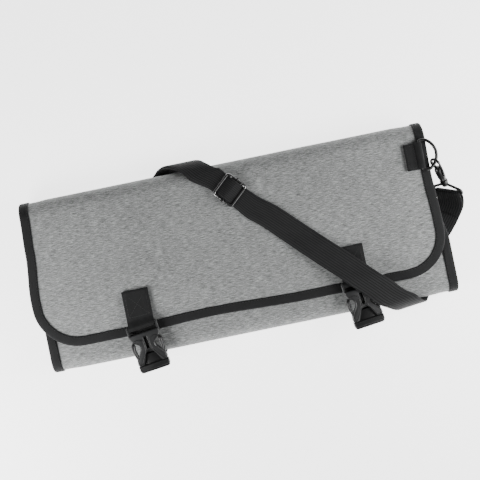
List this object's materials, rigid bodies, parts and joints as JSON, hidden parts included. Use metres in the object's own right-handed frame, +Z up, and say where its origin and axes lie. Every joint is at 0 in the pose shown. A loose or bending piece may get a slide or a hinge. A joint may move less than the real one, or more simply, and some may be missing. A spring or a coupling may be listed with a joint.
{
  "type": "chef knife roll",
  "caption": "Padded knife roll of grey cloth, folded shut and lying on its back, with black binding, side-release buckles across the flap and a shoulder strap on a snap hook.",
  "frame": {"origin": "middle of the footprint on the ground, at the lowest point of the part", "axes": "+X along the roll to the end with the D-ring, +Y from the lower fold to the upper fold, +Z up from the ground to the flap"},
  "size_m": [0.5038, 0.2248, 0.0519],
  "materials": {
    "cloth": "heather-grey woven cloth, padded",
    "binding": "black grosgrain binding",
    "webbing": "black ribbed webbing",
    "socket_plastic": "dark grey moulded plastic",
    "plug_plastic": "black moulded plastic",
    "black_metal": "glossy black lacquer"
  },
  "bodies": {
    "roll": {"roll_panel": "cloth", "edge_binding": "binding", "flap_tab_left": "webbing", "flap_tab_right": "webbing", "closing_strap_left": "webbing", "closing_strap_right": "webbing", "ring_tab": "webbing", "back_ring_tab": "webbing", "shoulder_strap": "webbing", "buckle_socket_left": "socket_plastic", "buckle_socket_right": "socket_plastic", "buckle_plug_left": "plug_plastic", "buckle_plug_right": "plug_plastic", "d_ring": "black_metal", "swivel_eye": "black_metal", "strap_slider": "black_metal", "back_snap_hook": "black_metal", "back_d_ring": "black_metal"},
    "hook": {"snap_hook": "black_metal"},
    "lever": {"hook_lever": "black_metal"}
  },
  "joints": [
    {"name": "hook_swivel", "type": "hinge", "parent": "roll", "child": "hook", "pos_m": [0.23329, 0.02842, 0.02479], "axis": [-0.2988, 0.7785, 0.5519], "range_deg": [-10, 3]},
    {"name": "lever_pivot", "type": "hinge", "parent": "hook", "child": "lever", "pos_m": [0.2297, 0.0409, 0.03695], "axis": [-0.8059, -0.5156, 0.2909], "range_deg": [0, 13], "stiffness_Nm_per_rad": 0.05, "springref_deg": -5.73}
  ]
}
